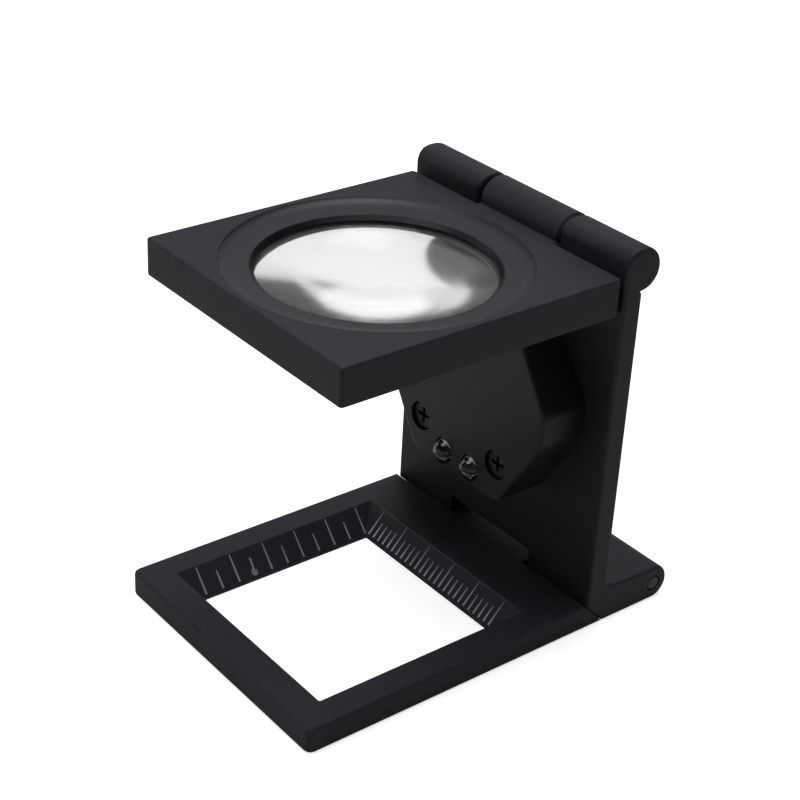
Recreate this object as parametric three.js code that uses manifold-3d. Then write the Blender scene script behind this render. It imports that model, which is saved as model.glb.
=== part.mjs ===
// A folding stand magnifier with a lamp, in millimetres: X to the right, Y to the back, Z up.
// The base lies on the ground. The upright is hinged at the tips of its rear feet, and the lens plate
// is hinged in the barrels at the top of the upright. Both fold up and back through three right angles.
import * as THREE from 'three';
import { mergeVertices } from 'three/addons/utils/BufferGeometryUtils.js';
import Module from 'manifold-3d';

const wasm = await Module();
wasm.setup();

// Clearances
const runningGap = 0.3; // between pieces that move past each other
const seatGap = 0.2; // around a piece that sits in a pocket
const overrun = 1.5; // how far a cutting body runs past what it cuts

// Base window, one inch wide, with a bevel that carries the two scales and a thin lip under it
const windowOpening = 25.4;
const windowBevel = 2.9; // how far the bevel widens the window at the sides and the rear
const frontBevel = 2.25; // and at the front, where it is steeper
const windowTop = windowOpening + 2 * windowBevel;
const windowLip = 0.4;
const windowCorner = 0.15;

// Plates
const sideRail = 3.8; // flat rail on each side of the window
const frontRail = 4.2;
const windowSetback = 7.75; // from the inner face of the upright to the rear edge of the window
const plateWidth = windowTop + 2 * sideRail;
const baseReach = windowSetback + windowTop + frontRail; // from the upright to the front edge
const baseThickness = 3.5;
const uprightThickness = 3;
const lensPlateInset = 0.2; // the lens plate is narrower than the base by this much on each side
const lensPlateShortfall = 3; // and ends this far behind the front edge of the base
const lensPlateWidth = plateWidth - 2 * lensPlateInset;
const lensPlateReach = baseReach - lensPlateShortfall;
const lensPlateThickness = 4.8;
const baseCorner = 0.95; // plan radius of the corners of the base
const lensPlateCorner = 0.5;
const baseRound = 0.4; // radius of the softened edges of the base
const lensPlateRound = 0.25;
const uprightRound = 0.45;
const edgeSteps = 3;

// Slanted seam where the upright stands on the base
const seamSetback = 0.6; // the top of the seam lies this far in front of the upright
const seamDegrees = 45;
const seamGap = 0.05; // the upright stands this close to the slope of the base

// Lower hinge
const lowerBarrelRadius = 2.4;
const lowerAxisSetback = 11.75; // behind the inner face of the upright
const armWidth = 15.2;
const footHeight = 5;
const footFillet = 1.2;
const notchHeight = 5.6;

// Upper hinge
const upperBarrelRadius = 2.75;
const upperAxisHeight = 49.4;
const middleKnuckleWidth = 14.4;
const middleKnuckleShift = 0.4; // the middle knuckle stands this far right of the middle
const knuckleShoulder = 1.8; // radius at the front top of the outer knuckles
const sweepGap = 0.1; // from that shoulder to the lens plate as it swings past
const lensPlateDrop = 0.3; // top of the lens plate below the axis, so that it folds flat behind
const knuckleEndRound = 0.4;

// Hinge pins
const pinRadius = 1;
const pinClearance = 0.15;
const blindEnd = 1.2; // the upper pin stops this far inside the right knuckle
const pinEndRound = 0.15;

// Lens, its seat and its ring
const lensMargin = 4.95; // from the edge of the lens to the side of the base below it
const lensShift = 0.9; // the lens sits this far in front of the middle of its plate
const lensRadius = plateWidth / 2 - lensMargin;
const lensSetback = lensPlateReach / 2 + lensShift; // from the upright to the axis of the lens
const lensSag = 1.7;
const lensEdge = 1.2;
const seatLedge = 0.3; // how far the ledge above the lens covers its edge
const clearRadius = lensRadius - seatLedge;
const funnelStep = 0.5; // from the bore out to the mouth of the funnel
const funnelWidth = 3.7;
const funnelDepth = 0.85;
const funnelMouth = clearRadius + funnelStep;
const seatDepth = 1.55; // from the top of the lens plate down to the lens seat
const ringOverhang = 0.55; // how far the ring reaches outside the lens
const ringRadius = lensRadius + ringOverhang;
const ringOpening = clearRadius - 2 * seatGap;
const ringThickness = 0.9;

// Cover screws
const screwHeadRadius = 1.8;
const screwHeadHeight = 1.1;
const screwShankRadius = 0.8;
const screwSink = 0.5; // top of the head below the face
const screwRise = 5.3; // above the bottom of the cover
const screwInset = 0.85; // nearer the middle than the corners of the cover's foot
const threadSkin = 0.3; // metal left behind the threaded holes of the upright
const threadDepth = uprightThickness - threadSkin;
const bossRadius = 2.7;
const crossLength = 2.2;
const crossWidth = 0.5;
const crossDepth = 0.6;

// Button cells, side by side
const cellRadius = 3.95;
const cellThickness = 3.6;
const cellGap = 0.25;
const cellEndGap = 0.65; // from the last cell to the wall
const cellMargin = 1.45; // from the screw bosses up to the cells
const cellPitch = 2 * cellRadius + cellGap;
const cellRound = 0.3;

// Contact leaves
const leafThickness = 0.25;
const leafWidth = 3;
const leafPad = 2.2; // radius of the round pad under each cell
const contactTail = 6.2; // from the far edge of the pad of an end contact to its tip

// Slide switch on the left side of the cover
const switchBodyWidth = 2.4; // across the side wall, along X
const switchBodyDepth = 3.4; // along Y
const switchBodyHeight = 7.4;
const switchTravel = 2;
const knobHeight = 3;
const knobDepth = 2.8;
const knobProud = 1.1;
const stemHeight = 1.6;
const stemDepth = 1.2;
const stemReach = 0.9; // depth of the stem in the switch body
const knobRidgeCount = 3;
const knobRidge = 0.25;

// Lamp cover: an eight-sided cup on the inner face of the upright, as large as its contents need
const lampWall = 1.2;
const backPlateThickness = 0.9;
const lampFootHalfWidth = 8.2;
const lampSideHeight = 4;
const lampHeadroom = 2.35; // from the cover up to the lens plate
const lampCorner = 2.4;
const lampEdgeRound = 0.4;
const cellRowShift = (switchBodyWidth + runningGap) / 2; // the row makes room for the switch
const lampHalfWidth = cellRowShift + cellPitch + cellRadius + cellEndGap + lampWall;
const roomUnderCells = screwRise + bossRadius + cellMargin;
const lampHeight = 2 * (roomUnderCells + cellRadius);
const cellRoom = cellThickness + 2 * (leafThickness + runningGap);
const lampInside = backPlateThickness + cellRoom;
const lampDepth = lampInside + lampWall;

// Light emitting diodes
const ledRadius = 1.5;
const ledFlangeRadius = 1.8;
const ledFlange = 0.8;
const ledLength = 4.6;
const ledOffset = 2.6;
const ledRise = 2.35; // where the axis leaves the face, above the bottom of the cover
const ledTiltDegrees = 30;
const ledProud = 1.1; // length in front of the face, along the axis
const ledLegRadius = 0.25;
const ledLegOffset = 0.7;
const ledHoleGap = 0.2;

// Circuit board and resistor
const boardThickness = 0.8;
const boardHalfWidth = 4.3;
const boardHeadroom = 0.35; // from the board up to the cells
const boardBottom = 1.6;
const boardTop = roomUnderCells - boardHeadroom; // above the bottom of the cover
const resistorRadius = 0.75;
const resistorWaist = 0.6;
const resistorLength = 3.4;
const resistorCap = 0.8;
const resistorInset = 1.1; // below the top of the board

// Curve resolution, as numbers of steps
const roundSteps = 48;
const lensSteps = 72;
const smallRoundSteps = 20;
const funnelSteps = 4;

// Places worked out from the sizes above
const halfWidth = plateWidth / 2;
const seamRun = baseThickness / Math.tan(THREE.MathUtils.degToRad(seamDegrees));
const seamShift = seamGap / Math.sin(THREE.MathUtils.degToRad(seamDegrees));
const recessFloor = upperAxisHeight - upperBarrelRadius - runningGap; // under the middle knuckle
const lensPlateTop = upperAxisHeight - lensPlateDrop;
const lensPlateBottom = lensPlateTop - lensPlateThickness;
const shoulderReach = (upperBarrelRadius - knuckleShoulder) * Math.SQRT2 + knuckleShoulder;
const lensPlateRear = upperBarrelRadius - shoulderReach - sweepGap;
const lensSeat = lensPlateTop - seatDepth;
const lampBottom = lensPlateBottom - lampHeadroom - lampHeight;
const screwOffset = lampFootHalfWidth - screwInset;
const screwHeight = lampBottom + screwRise;
const cellHeight = lampBottom + lampHeight / 2;
const cellFront = backPlateThickness + (cellRoom + cellThickness) / 2;
const upperAxis = new THREE.Vector2(upperBarrelRadius, upperAxisHeight);
const lowerAxis = new THREE.Vector2(lowerAxisSetback, lowerBarrelRadius);
const knuckleLeft = middleKnuckleShift - middleKnuckleWidth / 2;
const knuckleRight = middleKnuckleShift + middleKnuckleWidth / 2;

// Materials
function paint(color, roughness, metalness) {
  return new THREE.MeshStandardMaterial({ color, roughness, metalness });
}
const paintedMetal = () => paint(0x1c1c1f, 0.55, 0.3);
const blackPlastic = () => paint(0x17171a, 0.5, 0);
const steel = () => paint(0xb4b4b0, 0.3, 1);
const blackSteel = () => paint(0x202022, 0.4, 0.8);
const glass = () => paint(0xf2f6f6, 0.02, 0);
const clearResin = () => paint(0xe9eef2, 0.05, 0);
const boardGreen = () => paint(0x1f5a36, 0.5, 0);
const brass = () => paint(0xb9924a, 0.35, 1);
const resistorBeige = () => paint(0xc9b58a, 0.6, 0);

// Solid bodies
function solid(geometry) {
  const bare = geometry.clone();
  bare.deleteAttribute('normal');
  bare.deleteAttribute('uv');
  const merged = mergeVertices(bare);
  return new wasm.Manifold(new wasm.Mesh({
    numProp: 3,
    vertProperties: new Float32Array(merged.attributes.position.array),
    triVerts: new Uint32Array(merged.index.array),
  }));
}

function piece(name, body, material) {
  const mesh = body.getMesh();
  const geometry = new THREE.BufferGeometry();
  geometry.setAttribute('position', new THREE.BufferAttribute(mesh.vertProperties, 3));
  geometry.setIndex(new THREE.BufferAttribute(mesh.triVerts, 1));
  geometry.computeVertexNormals();
  const made = new THREE.Mesh(geometry, material);
  made.name = name;
  return made;
}

const join = (bodies) => bodies.reduce((all, body) => all.add(body));
const cut = (body, cutters) => cutters.reduce((left, cutter) => left.subtract(cutter), body);

// A box between two corners
function block(low, high) {
  const size = new THREE.Vector3().subVectors(high, low);
  const middle = new THREE.Vector3().addVectors(low, high).divideScalar(2);
  const geometry = new THREE.BoxGeometry(size.x, size.y, size.z);
  geometry.translate(middle.x, middle.y, middle.z);
  return solid(geometry);
}

// Points of an arc about a centre
function arc(centre, radius, fromDegrees, toDegrees, steps) {
  return Array.from({ length: steps + 1 }, (_, i) => {
    const angle = THREE.MathUtils.degToRad(THREE.MathUtils.lerp(fromDegrees, toDegrees, i / steps));
    return new THREE.Vector2(centre.x + radius * Math.cos(angle), centre.y + radius * Math.sin(angle));
  });
}

// A rectangle with round corners, about the origin
function roundedRectangle(width, height, radius, steps) {
  const x = width / 2 - radius;
  const y = height / 2 - radius;
  return [
    ...arc(new THREE.Vector2(x, y), radius, 0, 90, steps),
    ...arc(new THREE.Vector2(-x, y), radius, 90, 180, steps),
    ...arc(new THREE.Vector2(-x, -y), radius, 180, 270, steps),
    ...arc(new THREE.Vector2(x, -y), radius, 270, 360, steps),
  ];
}

// An outline pushed straight up, with both ends softened
function slab(outline, thickness, round, steps) {
  const options = {
    depth: thickness - 2 * round,
    bevelEnabled: round > 0,
    bevelThickness: round,
    bevelSize: round,
    bevelOffset: -round,
    bevelSegments: steps,
  };
  const geometry = new THREE.ExtrudeGeometry(new THREE.Shape(outline), options);
  geometry.translate(0, 0, round);
  return geometry;
}

// A side outline, drawn in Y and Z, pushed along X between two places
function sideways(outline, fromX, toX, round, steps) {
  const geometry = slab(outline, toX - fromX, round, steps);
  geometry.applyMatrix4(new THREE.Matrix4().makeBasis(
    new THREE.Vector3(0, 1, 0),
    new THREE.Vector3(0, 0, 1),
    new THREE.Vector3(1, 0, 0),
  ));
  geometry.translate(fromX, 0, 0);
  return solid(geometry);
}

// A front outline, drawn in X and Z, pushed to the front from the face of the upright
function frontwards(outline, fromDepth, toDepth) {
  const geometry = slab(outline, toDepth - fromDepth, 0, 1);
  geometry.rotateX(Math.PI / 2);
  geometry.translate(0, -fromDepth, 0);
  return solid(geometry);
}

// A profile of radius and height turned about the Z axis
function turned(profile, steps) {
  const geometry = new THREE.LatheGeometry(profile.map(([r, z]) => new THREE.Vector2(r, z)), steps);
  geometry.rotateX(Math.PI / 2);
  return geometry;
}

// A round bar along X, with softened ends
function bar(radius, fromX, toX, centre, round, steps) {
  const geometry = turned([
    [0, fromX],
    [radius - round, fromX],
    [radius, fromX + round],
    [radius, toX - round],
    [radius - round, toX],
    [0, toX],
  ], steps);
  geometry.rotateY(Math.PI / 2);
  geometry.translate(0, centre.x, centre.y);
  return solid(geometry);
}

// A round bar along Y that starts at one depth and ends at another, measured to the front
function post(radius, fromDepth, toDepth, x, z, steps) {
  const length = toDepth - fromDepth;
  const geometry = new THREE.CylinderGeometry(radius, radius, length, steps);
  geometry.translate(x, -fromDepth - length / 2, z);
  return solid(geometry);
}

// A body with a closed ring of points at each level
function loft(rings) {
  const count = rings[0].length;
  const positions = rings.flat().flatMap((p) => [p.x, p.y, p.z]);
  const triangles = [];
  for (let level = 0; level + 1 < rings.length; level += 1) {
    for (let i = 0; i < count; i += 1) {
      const here = level * count + i;
      const next = level * count + (i + 1) % count;
      triangles.push(here, next, next + count, here, next + count, here + count);
    }
  }
  const lastRing = (rings.length - 1) * count;
  for (let i = 1; i + 1 < count; i += 1) {
    triangles.push(0, i + 1, i, lastRing, lastRing + i, lastRing + i + 1);
  }
  const geometry = new THREE.BufferGeometry();
  geometry.setAttribute('position', new THREE.Float32BufferAttribute(positions, 3));
  geometry.setIndex(triangles);
  return solid(geometry);
}

// Where a straight line from a point touches a circle, as an angle about its centre
function tangentDegrees(point, centre, radius) {
  const away = new THREE.Vector2().subVectors(point, centre);
  const turn = Math.atan2(away.y, away.x) - Math.acos(radius / away.length());
  return THREE.MathUtils.radToDeg(turn);
}

// Base
function windowCutter() {
  const ring = (bevelShare, z) => {
    const rear = -windowSetback - windowBevel * (1 - bevelShare);
    const front = -windowSetback - windowTop + frontBevel * (1 - bevelShare);
    const width = windowOpening + 2 * windowBevel * bevelShare;
    return roundedRectangle(width, rear - front, windowCorner, 1)
      .map((p) => new THREE.Vector3(p.x, p.y + (rear + front) / 2, z));
  };
  const wideShare = 1 + overrun / (baseThickness - windowLip);
  return loft([
    ring(0, -overrun),
    ring(0, windowLip),
    ring(wideShare, baseThickness + overrun),
  ]);
}

function baseArm() {
  const root = -seamSetback - seamRun;
  const levelDegrees = THREE.MathUtils.radToDeg(Math.asin(baseThickness / lowerBarrelRadius - 1));
  const outline = [
    new THREE.Vector2(root, 0),
    new THREE.Vector2(lowerAxis.x, 0),
    ...arc(lowerAxis, lowerBarrelRadius, -90, 180 - levelDegrees, smallRoundSteps).slice(1),
    new THREE.Vector2(root, baseThickness),
  ];
  return sideways(outline, -armWidth / 2, armWidth / 2, knuckleEndRound, 1);
}

function baseFrame() {
  const rear = seamRun + overrun;
  const plan = roundedRectangle(plateWidth, baseReach + rear, baseCorner, edgeSteps)
    .map((p) => new THREE.Vector2(p.x, p.y + (rear - baseReach) / 2));
  const plate = solid(slab(plan, baseThickness, baseRound, edgeSteps));
  const slope = (z) => -seamSetback + (baseThickness - z) / baseThickness * seamRun;
  const high = baseThickness + overrun;
  const behindSeam = sideways([
    new THREE.Vector2(slope(-overrun), -overrun),
    new THREE.Vector2(rear + overrun, -overrun),
    new THREE.Vector2(rear + overrun, high),
    new THREE.Vector2(slope(high), high),
  ], -halfWidth - overrun, halfWidth + overrun, 0, 1);
  const bore = bar(pinRadius + pinClearance, -halfWidth, halfWidth, lowerAxis, 0, smallRoundSteps);
  const body = cut(join([cut(plate, [behindSeam]), baseArm()]), [windowCutter(), bore]);
  return piece('base_frame', body, paintedMetal());
}

// Upright
function plateOutline() {
  const seamFoot = -seamSetback + seamShift + seamRun;
  const seamTop = seamFoot / seamRun * baseThickness;
  const heel = new THREE.Vector2(uprightThickness + footFillet, footHeight + footFillet);
  const footEdge = new THREE.Vector2(heel.x, footHeight);
  const touch = tangentDegrees(footEdge, lowerAxis, lowerBarrelRadius);
  return [
    new THREE.Vector2(seamFoot, 0),
    ...arc(lowerAxis, lowerBarrelRadius, -90, touch, smallRoundSteps),
    ...arc(heel, footFillet, 270, 180, edgeSteps),
    new THREE.Vector2(uprightThickness, recessFloor),
    new THREE.Vector2(0, recessFloor),
    new THREE.Vector2(0, seamTop),
  ];
}

// The barrel with its square front, and a root that runs down into the plate
function knuckleOutline() {
  const shoulder = new THREE.Vector2(knuckleShoulder, upperAxis.y + upperBarrelRadius - knuckleShoulder);
  return [
    new THREE.Vector2(0, recessFloor - overrun),
    new THREE.Vector2(uprightThickness, recessFloor - overrun),
    new THREE.Vector2(uprightThickness, recessFloor),
    ...arc(upperAxis, upperBarrelRadius, -90, 90, smallRoundSteps),
    ...arc(shoulder, knuckleShoulder, 90, 180, edgeSteps),
  ];
}

function uprightPlate() {
  const plate = sideways(plateOutline(), -halfWidth, halfWidth, uprightRound, edgeSteps);
  const knuckles = [[-halfWidth, knuckleLeft - runningGap], [knuckleRight + runningGap, halfWidth]]
    .map(([from, to]) => sideways(knuckleOutline(), from, to, uprightRound, edgeSteps));
  const notch = armWidth / 2 + runningGap;
  const rear = lowerAxisSetback + lowerBarrelRadius + overrun;
  const lowerNotch = block(
    new THREE.Vector3(-notch, -overrun, -overrun),
    new THREE.Vector3(notch, rear, notchHeight),
  );
  const boreRadius = pinRadius + pinClearance;
  const blind = halfWidth - blindEnd + seatGap;
  const upperBore = bar(boreRadius, -halfWidth - overrun, blind, upperAxis, 0, smallRoundSteps);
  const lowerBore = bar(boreRadius, -halfWidth - overrun, halfWidth + overrun, lowerAxis, 0, smallRoundSteps);
  const threads = [-screwOffset, screwOffset].map((x) => post(
    screwShankRadius + pinClearance,
    -threadDepth,
    overrun,
    x,
    screwHeight,
    smallRoundSteps,
  ));
  const made = cut(join([plate, ...knuckles]), [lowerNotch, upperBore, lowerBore, ...threads]);
  return piece('upright_plate', made, paintedMetal());
}

function hingePins() {
  const upper = bar(pinRadius, -halfWidth + pinEndRound, halfWidth - blindEnd, upperAxis, pinEndRound, smallRoundSteps);
  const lower = bar(pinRadius, -halfWidth, halfWidth, lowerAxis, pinEndRound, smallRoundSteps);
  return [
    piece('upper_hinge_pin', upper, steel()),
    piece('lower_hinge_pin', lower, steel()),
  ];
}

// Lens plate
function lensBore() {
  const under = lensPlateThickness + overrun;
  const ringRoom = ringRadius + pinClearance;
  const ringTop = -seatDepth - seatGap - lensEdge - seatGap;
  const funnel = arc(new THREE.Vector2(), 1, 0, 90, funnelSteps)
    .map((p) => [funnelMouth + funnelWidth * p.x, -funnelDepth * p.y]);
  const profile = [
    [0, overrun],
    [funnelMouth + funnelWidth, overrun],
    ...funnel,
    [clearRadius, -funnelDepth - (funnelMouth - clearRadius)],
    [clearRadius, -seatDepth],
    [lensRadius + seatGap, -seatDepth],
    [lensRadius + seatGap, ringTop],
    [ringRoom, ringTop],
    [ringRoom, -under],
    [0, -under],
  ];
  const geometry = turned(profile.reverse(), lensSteps);
  geometry.translate(0, -lensSetback, lensPlateTop);
  return solid(geometry);
}

function lensFrame() {
  const depth = lensPlateReach + lensPlateRear;
  const plan = roundedRectangle(lensPlateWidth, depth, lensPlateCorner, edgeSteps)
    .map((p) => new THREE.Vector2(p.x, p.y + lensPlateRear - depth / 2));
  const geometry = slab(plan, lensPlateThickness, lensPlateRound, edgeSteps);
  const webFront = lensPlateRear - lensPlateRound - lensPlateCorner;
  geometry.translate(0, 0, lensPlateBottom);
  const barrel = sideways(
    arc(upperAxis, upperBarrelRadius, 0, 360, 2 * smallRoundSteps).slice(1),
    knuckleLeft,
    knuckleRight,
    knuckleEndRound,
    1,
  );
  const web = sideways([
    new THREE.Vector2(webFront, upperAxisHeight - upperBarrelRadius),
    new THREE.Vector2(upperAxis.x, upperAxisHeight - upperBarrelRadius),
    new THREE.Vector2(upperAxis.x, lensPlateTop),
    new THREE.Vector2(webFront, lensPlateTop),
  ], knuckleLeft, knuckleRight, knuckleEndRound, 1);
  const bore = bar(pinRadius + pinClearance, -halfWidth, halfWidth, upperAxis, 0, smallRoundSteps);
  const body = cut(join([solid(geometry), barrel, web]), [lensBore(), bore]);
  return piece('lens_frame', body, paintedMetal());
}

function lens() {
  const bend = (lensRadius ** 2 + lensSag ** 2) / (2 * lensSag);
  const rise = (r) => Math.sqrt(bend ** 2 - r ** 2) - (bend - lensSag);
  const edgeTop = lensSeat - seatGap;
  const edgeBottom = edgeTop - lensEdge;
  const radii = Array.from({ length: edgeSteps * 3 + 1 }, (_, i) => lensRadius * i / (edgeSteps * 3));
  const below = radii.map((r) => [r, edgeBottom - rise(r)]);
  const above = radii.map((r) => [r, edgeTop + rise(r)]).reverse();
  const geometry = turned([...below, ...above], lensSteps);
  geometry.translate(0, -lensSetback, 0);
  return piece('lens', solid(geometry), glass());
}

function retainingRing() {
  const top = lensSeat - seatGap - lensEdge - seatGap * 2;
  const geometry = turned([
    [ringOpening, top - ringThickness],
    [ringRadius, top - ringThickness],
    [ringRadius, top],
    [ringOpening, top],
    [ringOpening, top - ringThickness],
  ], lensSteps);
  geometry.translate(0, -lensSetback, 0);
  return piece('lens_retaining_ring', solid(geometry), blackSteel());
}

// Lamp
function lampOutline(inset) {
  const half = lampHeight / 2;
  const side = lampSideHeight / 2;
  const middle = lampBottom + half;
  const corners = [
    [lampFootHalfWidth, -half],
    [lampHalfWidth, -side],
    [lampHalfWidth, side],
    [lampFootHalfWidth, half],
    [-lampFootHalfWidth, half],
    [-lampHalfWidth, side],
    [-lampHalfWidth, -side],
    [-lampFootHalfWidth, -half],
  ].map(([x, z]) => new THREE.Vector2(x, z));
  return corners.flatMap((corner, i) => {
    const before = corners[(i + corners.length - 1) % corners.length];
    const after = corners[(i + 1) % corners.length];
    const back = before.clone().sub(corner).normalize();
    const ahead = after.clone().sub(corner).normalize();
    const halfTurn = Math.acos(THREE.MathUtils.clamp(back.dot(ahead), -1, 1)) / 2;
    const bisector = back.clone().add(ahead).normalize();
    const radius = Math.max(lampCorner - inset, lampWall / 2);
    const centre = corner.clone().addScaledVector(bisector, (radius + inset) / Math.sin(halfTurn));
    const out = Math.atan2(-bisector.y, -bisector.x);
    const sweep = Math.PI / 2 - halfTurn;
    const from = THREE.MathUtils.radToDeg(out - sweep);
    const to = THREE.MathUtils.radToDeg(out + sweep);
    return arc(centre, radius, from, to, edgeSteps).map((p) => new THREE.Vector2(p.x, p.y + middle));
  });
}

// The outside of the cover, its front edge softened by stepping the outline inwards
function softCup() {
  const rings = Array.from({ length: edgeSteps + 1 }, (_, i) => {
    const angle = Math.PI / 2 * i / edgeSteps;
    const inset = lampEdgeRound * (1 - Math.cos(angle));
    const depth = lampDepth - lampEdgeRound * (1 - Math.sin(angle));
    return lampOutline(inset).map((p) => new THREE.Vector3(p.x, -depth, p.y));
  });
  const seat = lampOutline(0).map((p) => new THREE.Vector3(p.x, 0, p.y));
  return loft([seat, ...rings]);
}

// Tilts a body made along Z so that it points out of the face and down to the window
function placeDiode(geometry, x) {
  geometry.translate(0, 0, ledProud);
  geometry.rotateX(Math.PI / 2 + THREE.MathUtils.degToRad(ledTiltDegrees));
  geometry.translate(x, -lampDepth, lampBottom + ledRise);
  return solid(geometry);
}

function lampCover() {
  const hollow = frontwards(lampOutline(lampWall), -overrun, lampInside);
  const bosses = [-screwOffset, screwOffset].map((x) => post(
    bossRadius,
    backPlateThickness,
    lampDepth - lampEdgeRound,
    x,
    screwHeight,
    smallRoundSteps,
  ));
  const headFloor = lampDepth - screwSink - screwHeadHeight - seatGap;
  const screwHoles = [-screwOffset, screwOffset].flatMap((x) => [
    post(screwHeadRadius + seatGap, headFloor, lampDepth + overrun, x, screwHeight, smallRoundSteps),
    post(screwShankRadius + pinClearance, -overrun, lampDepth, x, screwHeight, smallRoundSteps),
  ]);
  const ledHoles = [-ledOffset, ledOffset].map((x) => placeDiode(turned([
    [0, -ledLength],
    [ledRadius + ledHoleGap, -ledLength],
    [ledRadius + ledHoleGap, ledRadius],
    [0, ledRadius],
  ], smallRoundSteps), x));
  const slot = block(
    new THREE.Vector3(
      -lampHalfWidth - overrun,
      -backPlateThickness - (lampInside - backPlateThickness + stemDepth) / 2 - seatGap,
      cellHeight - (stemHeight + switchTravel) / 2 - seatGap,
    ),
    new THREE.Vector3(
      -lampHalfWidth + lampWall + overrun,
      -backPlateThickness - (lampInside - backPlateThickness - stemDepth) / 2 + seatGap,
      cellHeight + (stemHeight + switchTravel) / 2 + seatGap,
    ),
  );
  const shell = cut(softCup(), [hollow]);
  const body = cut(join([shell, ...bosses]), [...screwHoles, ...ledHoles, slot]);
  return piece('lamp_cover', body, blackPlastic());
}

function backPlate() {
  const plate = frontwards(lampOutline(lampWall + seatGap), 0, backPlateThickness);
  const holes = [-screwOffset, screwOffset].map((x) => post(
    screwShankRadius + pinClearance,
    -overrun,
    backPlateThickness + overrun,
    x,
    screwHeight,
    smallRoundSteps,
  ));
  return piece('lamp_back_plate', cut(plate, holes), blackPlastic());
}

function coverScrew(name, x) {
  const top = lampDepth - screwSink;
  const underHead = top - screwHeadHeight;
  const head = post(screwHeadRadius, underHead, top, x, screwHeight, smallRoundSteps);
  const shank = post(screwShankRadius, seatGap - threadDepth, underHead + crossDepth / 2, x, screwHeight, smallRoundSteps);
  const slot = (halfX, halfZ) => block(
    new THREE.Vector3(x - halfX, -top - overrun, screwHeight - halfZ),
    new THREE.Vector3(x + halfX, -top + crossDepth, screwHeight + halfZ),
  );
  const cross = [slot(crossLength / 2, crossWidth / 2), slot(crossWidth / 2, crossLength / 2)];
  return piece(name, cut(join([head, shank]), cross), blackSteel());
}

function diode(name, x) {
  const dome = arc(new THREE.Vector2(0, -ledRadius), ledRadius, 0, 90, edgeSteps * 2).map((p) => [p.x, p.y]);
  const shell = turned([
    [0, -ledLength],
    [ledFlangeRadius, -ledLength],
    [ledFlangeRadius, -ledLength + ledFlange],
    [ledRadius, -ledLength + ledFlange],
    ...dome.slice(0, -1),
    [0, 0],
  ], smallRoundSteps);
  const body = placeDiode(shell, x);
  const tilt = THREE.MathUtils.degToRad(ledTiltDegrees);
  const inside = ledLength - ledProud;
  const backDepth = lampDepth - inside * Math.cos(tilt);
  const backHeight = lampBottom + ledRise + inside * Math.sin(tilt);
  const boardFace = backPlateThickness + boardThickness + seatGap;
  const legs = [-ledLegOffset, ledLegOffset].map((dx) => post(
    ledLegRadius,
    boardFace,
    backDepth + ledFlange,
    x + dx,
    backHeight,
    edgeSteps * 2,
  ));
  return piece(name, join([body, ...legs]), clearResin());
}

function circuitBoard() {
  const body = block(
    new THREE.Vector3(-boardHalfWidth, -backPlateThickness - boardThickness, lampBottom + boardBottom),
    new THREE.Vector3(boardHalfWidth, -backPlateThickness, lampBottom + boardTop),
  );
  return piece('lamp_circuit_board', body, boardGreen());
}

function resistor() {
  const half = resistorLength / 2;
  const geometry = turned([
    [0, -half],
    [resistorRadius, -half],
    [resistorRadius, -half + resistorCap],
    [resistorWaist, -half + resistorCap],
    [resistorWaist, half - resistorCap],
    [resistorRadius, half - resistorCap],
    [resistorRadius, half],
    [0, half],
  ], smallRoundSteps);
  geometry.rotateY(Math.PI / 2);
  const depth = backPlateThickness + boardThickness + resistorRadius + seatGap;
  geometry.translate(0, -depth, lampBottom + boardTop - resistorInset);
  return piece('lamp_resistor', solid(geometry), resistorBeige());
}

const cellX = (index) => cellRowShift + (index - 1) * cellPitch;

function buttonCell(name, index) {
  const geometry = turned([
    [0, 0],
    [cellRadius - cellRound, 0],
    [cellRadius, cellRound],
    [cellRadius, cellThickness - cellRound],
    [cellRadius - cellRound, cellThickness],
    [0, cellThickness],
  ], roundSteps);
  geometry.rotateX(Math.PI / 2);
  geometry.translate(cellX(index), -(cellFront - cellThickness), cellHeight);
  return piece(name, solid(geometry), steel());
}

// A flat leaf with a round pad at each end, or a pad and a tail
function leaf(name, depth, fromX, toX, pads) {
  const strip = block(
    new THREE.Vector3(fromX, -depth - leafThickness, cellHeight - leafWidth / 2),
    new THREE.Vector3(toX, -depth, cellHeight + leafWidth / 2),
  );
  const discs = pads.map((x) => post(leafPad, depth, depth + leafThickness, x, cellHeight, smallRoundSteps));
  return piece(name, join([strip, ...discs]), brass());
}

function contacts() {
  const frontLeaf = lampInside - leafThickness;
  const rearLeaf = backPlateThickness;
  const tail = contactTail - leafPad;
  return [
    leaf('contact_bridge_front', frontLeaf, cellX(0), cellX(1), [cellX(0), cellX(1)]),
    leaf('contact_bridge_rear', rearLeaf, cellX(1), cellX(2), [cellX(1), cellX(2)]),
    leaf('contact_positive', frontLeaf, cellX(2) - tail, cellX(2), [cellX(2)]),
    leaf('contact_negative', rearLeaf, cellX(0), cellX(0) + tail, [cellX(0)]),
  ];
}

// The switch stands against the left wall, and its knob slides up on the outside
const switchDepth = backPlateThickness + (lampInside - backPlateThickness) / 2;

function switchBody() {
  const wall = -lampHalfWidth + lampWall;
  const body = block(
    new THREE.Vector3(wall, -switchDepth - switchBodyDepth / 2, cellHeight - switchBodyHeight / 2),
    new THREE.Vector3(wall + switchBodyWidth, -switchDepth + switchBodyDepth / 2, cellHeight + switchBodyHeight / 2),
  );
  const channelHeight = stemHeight + switchTravel + 2 * seatGap;
  const channel = block(
    new THREE.Vector3(wall - overrun, -switchDepth - stemDepth / 2 - seatGap, cellHeight - channelHeight / 2),
    new THREE.Vector3(
      wall + stemReach + runningGap,
      -switchDepth + stemDepth / 2 + seatGap,
      cellHeight + channelHeight / 2,
    ),
  );
  const room = frontwards(lampOutline(lampWall), -overrun, lampInside);
  return piece('switch_body', cut(body.intersect(room), [channel]), blackPlastic());
}

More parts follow.
